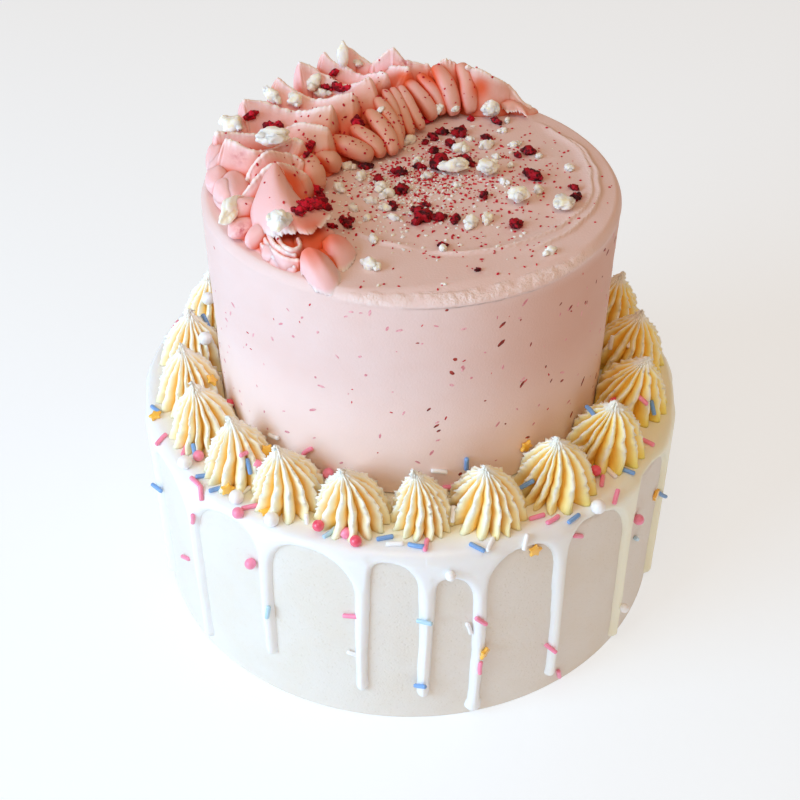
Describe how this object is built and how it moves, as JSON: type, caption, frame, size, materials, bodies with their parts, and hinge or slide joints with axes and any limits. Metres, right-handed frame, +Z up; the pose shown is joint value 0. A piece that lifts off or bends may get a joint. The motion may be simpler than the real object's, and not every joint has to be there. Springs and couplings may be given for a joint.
{
  "type": "two-tier party cake",
  "caption": "Round two-tier cake: cream lower tier with white drip glaze, sprinkles and piped kisses, pink upper tier with a piped crescent ruffle and berry crumbs.",
  "frame": {"origin": "centre of the flat underside of the lower tier, at the height of the surface that the cake stands on", "axes": "+Z up through both tiers; -Y is the front, the side that the picture is taken from; +X is to the right as seen from the front"},
  "size_m": [0.2156, 0.2147, 0.1952],
  "materials": {
    "sponge_cream": "matt smoothed buttercream",
    "white_glaze": "set white glaze, soft gloss",
    "blush_cream": "matt blush buttercream with red flecks",
    "ruffle_cream": "soft satin piped buttercream",
    "kiss_cream": "soft satin piped buttercream",
    "ivory_crunch": "matt brittle crumb"
  },
  "bodies": {
    "root": {"lower_tier": "sponge_cream", "drip_glaze": "white_glaze", "upper_tier": "blush_cream", "piped_ruffle": "ruffle_cream", "ivory_chunk_1": "ivory_crunch", "ivory_chunk_2": "ivory_crunch", "ivory_chunk_3": "ivory_crunch", "ivory_chunk_4": "ivory_crunch", "ivory_chunk_5": "ivory_crunch", "ivory_chunk_6": "ivory_crunch", "ivory_chunk_7": "ivory_crunch", "ivory_chunk_8": "ivory_crunch", "piped_kiss_01": "kiss_cream", "piped_kiss_02": "kiss_cream", "piped_kiss_03": "kiss_cream", "piped_kiss_04": "kiss_cream", "piped_kiss_05": "kiss_cream", "piped_kiss_06": "kiss_cream", "piped_kiss_07": "kiss_cream", "piped_kiss_08": "kiss_cream", "piped_kiss_09": "kiss_cream", "piped_kiss_10": "kiss_cream", "piped_kiss_11": "kiss_cream", "piped_kiss_12": "kiss_cream", "piped_kiss_13": "kiss_cream", "piped_kiss_14": "kiss_cream", "piped_kiss_15": "kiss_cream", "piped_kiss_16": "kiss_cream", "piped_kiss_17": "kiss_cream", "piped_kiss_18": "kiss_cream", "piped_kiss_19": "kiss_cream", "piped_kiss_20": "kiss_cream", "piped_kiss_21": "kiss_cream"}
  },
  "joints": []
}
